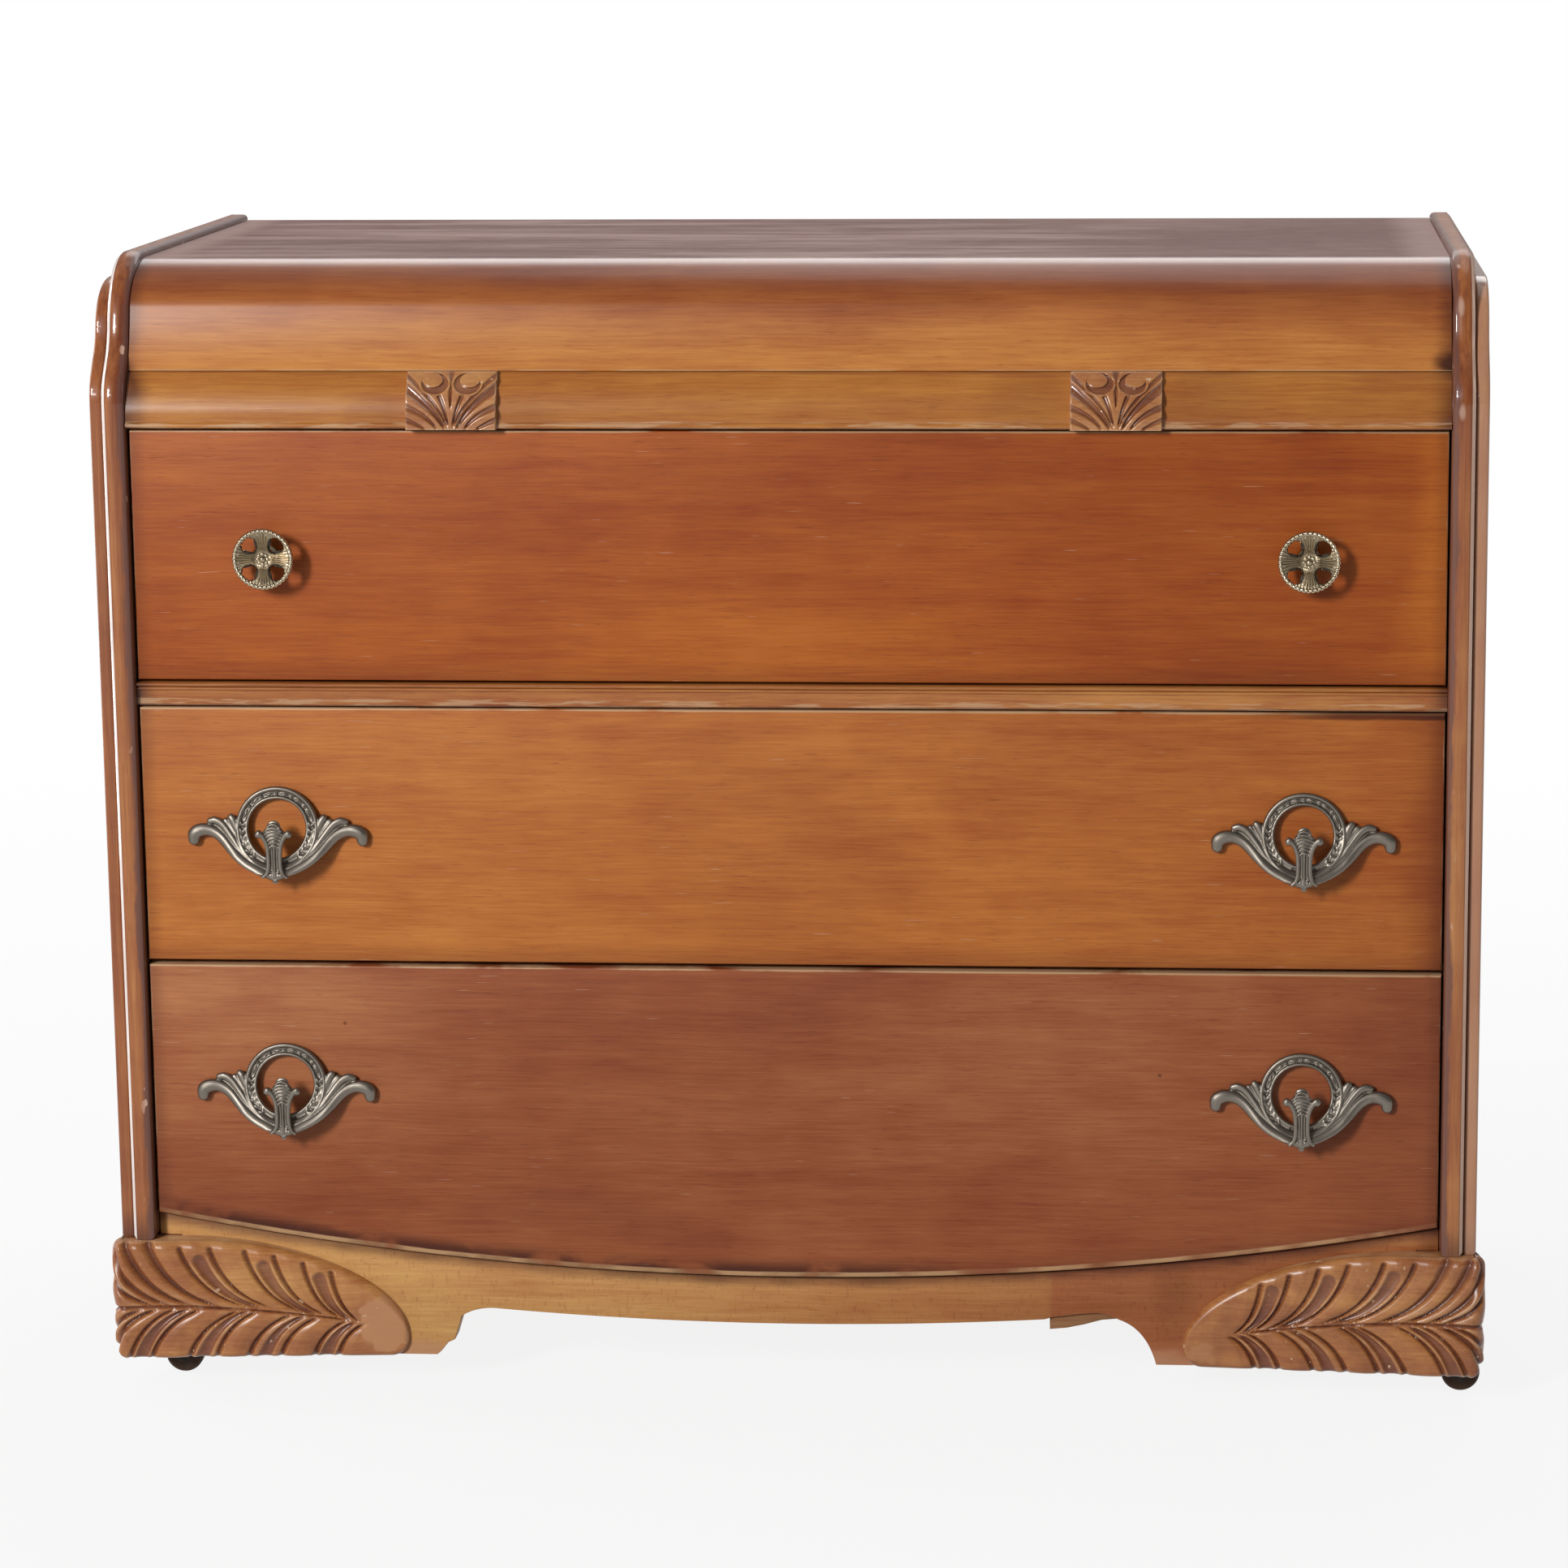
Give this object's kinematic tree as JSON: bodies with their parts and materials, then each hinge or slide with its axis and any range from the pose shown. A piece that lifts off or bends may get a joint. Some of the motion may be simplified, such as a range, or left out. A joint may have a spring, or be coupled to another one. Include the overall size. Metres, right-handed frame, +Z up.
{
  "type": "chest of drawers",
  "caption": "Low wooden chest of drawers with a top that rolls over at the front, carved feet, cast bridge pulls, pierced knobs and swivel casters.",
  "frame": {"origin": "on the floor, under the middle of the chest's box", "axes": "+Z up, the front faces -Y, +X is the viewer's right"},
  "size_m": [1.138, 0.526, 0.9428],
  "materials": {
    "case_wood": "aged gloss lacquer over stained hardwood, worn edges",
    "front_wood": "aged satin lacquer over stained veneer",
    "carved_wood": "dark stained carving, gloss lacquer worn on the ribs",
    "inner_wood": "bare planed softwood and plywood",
    "knob_brass": "aged brass, dark in the hollows",
    "pull_bronze": "dark antique bronze plating, rubbed on the high parts",
    "caster_iron": "blackened iron, light rust",
    "wheel_wood": "dark turned hardwood, dull"
  },
  "bodies": {
    "case": {"left_end_board": "case_wood", "right_end_board": "case_wood", "left_end_facing": "case_wood", "right_end_facing": "case_wood", "waterfall_top": "case_wood", "frieze_bead": "case_wood", "left_carved_block": "carved_wood", "right_carved_block": "carved_wood", "middle_rail": "case_wood", "lower_divider": "inner_wood", "apron": "case_wood", "back_panel": "inner_wood", "left_front_foot": "carved_wood", "right_front_foot": "carved_wood", "left_front_leg": "case_wood", "right_front_leg": "case_wood", "left_rear_leg": "case_wood", "right_rear_leg": "case_wood", "left_upper_runner": "inner_wood", "right_upper_runner": "inner_wood", "left_middle_runner": "inner_wood", "right_middle_runner": "inner_wood", "left_lower_runner": "inner_wood", "right_lower_runner": "inner_wood"},
    "upper_drawer": {"upper_drawer_front": "front_wood", "upper_drawer_left_side": "inner_wood", "upper_drawer_right_side": "inner_wood", "upper_drawer_back": "inner_wood", "upper_drawer_bottom": "inner_wood", "left_knob": "knob_brass", "right_knob": "knob_brass"},
    "middle_drawer": {"middle_drawer_front": "front_wood", "middle_drawer_left_side": "inner_wood", "middle_drawer_right_side": "inner_wood", "middle_drawer_back": "inner_wood", "middle_drawer_bottom": "inner_wood", "left_middle_pull": "pull_bronze", "right_middle_pull": "pull_bronze"},
    "lower_drawer": {"lower_drawer_front": "front_wood", "lower_drawer_left_side": "inner_wood", "lower_drawer_right_side": "inner_wood", "lower_drawer_back": "inner_wood", "lower_drawer_bottom": "inner_wood", "left_lower_pull": "pull_bronze", "right_lower_pull": "pull_bronze"},
    "left_front_caster_fork": {"left_front_caster_horn": "caster_iron", "left_front_caster_axle": "caster_iron"},
    "left_front_caster_roller": {"left_front_caster_wheel": "wheel_wood"},
    "left_rear_caster_fork": {"left_rear_caster_horn": "caster_iron", "left_rear_caster_axle": "caster_iron"},
    "left_rear_caster_roller": {"left_rear_caster_wheel": "wheel_wood"},
    "right_front_caster_fork": {"right_front_caster_horn": "caster_iron", "right_front_caster_axle": "caster_iron"},
    "right_front_caster_roller": {"right_front_caster_wheel": "wheel_wood"},
    "right_rear_caster_fork": {"right_rear_caster_horn": "caster_iron", "right_rear_caster_axle": "caster_iron"},
    "right_rear_caster_roller": {"right_rear_caster_wheel": "wheel_wood"}
  },
  "joints": [
    {"name": "upper_drawer_slide", "type": "slide", "parent": "case", "child": "upper_drawer", "axis": [0, -1, 0], "range_m": [0, 0.34]},
    {"name": "middle_drawer_slide", "type": "slide", "parent": "case", "child": "middle_drawer", "axis": [0, -1, 0], "range_m": [0, 0.34]},
    {"name": "lower_drawer_slide", "type": "slide", "parent": "case", "child": "lower_drawer", "axis": [0, -1, 0], "range_m": [0, 0.34]},
    {"name": "left_front_caster_swivel", "type": "hinge", "parent": "case", "child": "left_front_caster_fork", "pos_m": [-0.537, -0.1897, 0.036], "axis": [0, 0, 1], "continuous": true},
    {"name": "left_front_caster_spin", "type": "hinge", "parent": "left_front_caster_fork", "child": "left_front_caster_roller", "pos_m": [-0.522, -0.1897, 0.016], "axis": [0, 1, 0], "continuous": true},
    {"name": "left_rear_caster_swivel", "type": "hinge", "parent": "case", "child": "left_rear_caster_fork", "pos_m": [-0.537, 0.224, 0.036], "axis": [0, 0, 1], "continuous": true},
    {"name": "left_rear_caster_spin", "type": "hinge", "parent": "left_rear_caster_fork", "child": "left_rear_caster_roller", "pos_m": [-0.522, 0.224, 0.016], "axis": [0, 1, 0], "continuous": true},
    {"name": "right_front_caster_swivel", "type": "hinge", "parent": "case", "child": "right_front_caster_fork", "pos_m": [0.537, -0.1897, 0.036], "axis": [0, 0, 1], "continuous": true},
    {"name": "right_front_caster_spin", "type": "hinge", "parent": "right_front_caster_fork", "child": "right_front_caster_roller", "pos_m": [0.552, -0.1897, 0.016], "axis": [0, 1, 0], "continuous": true},
    {"name": "right_rear_caster_swivel", "type": "hinge", "parent": "case", "child": "right_rear_caster_fork", "pos_m": [0.537, 0.224, 0.036], "axis": [0, 0, 1], "continuous": true},
    {"name": "right_rear_caster_spin", "type": "hinge", "parent": "right_rear_caster_fork", "child": "right_rear_caster_roller", "pos_m": [0.552, 0.224, 0.016], "axis": [0, 1, 0], "continuous": true}
  ]
}
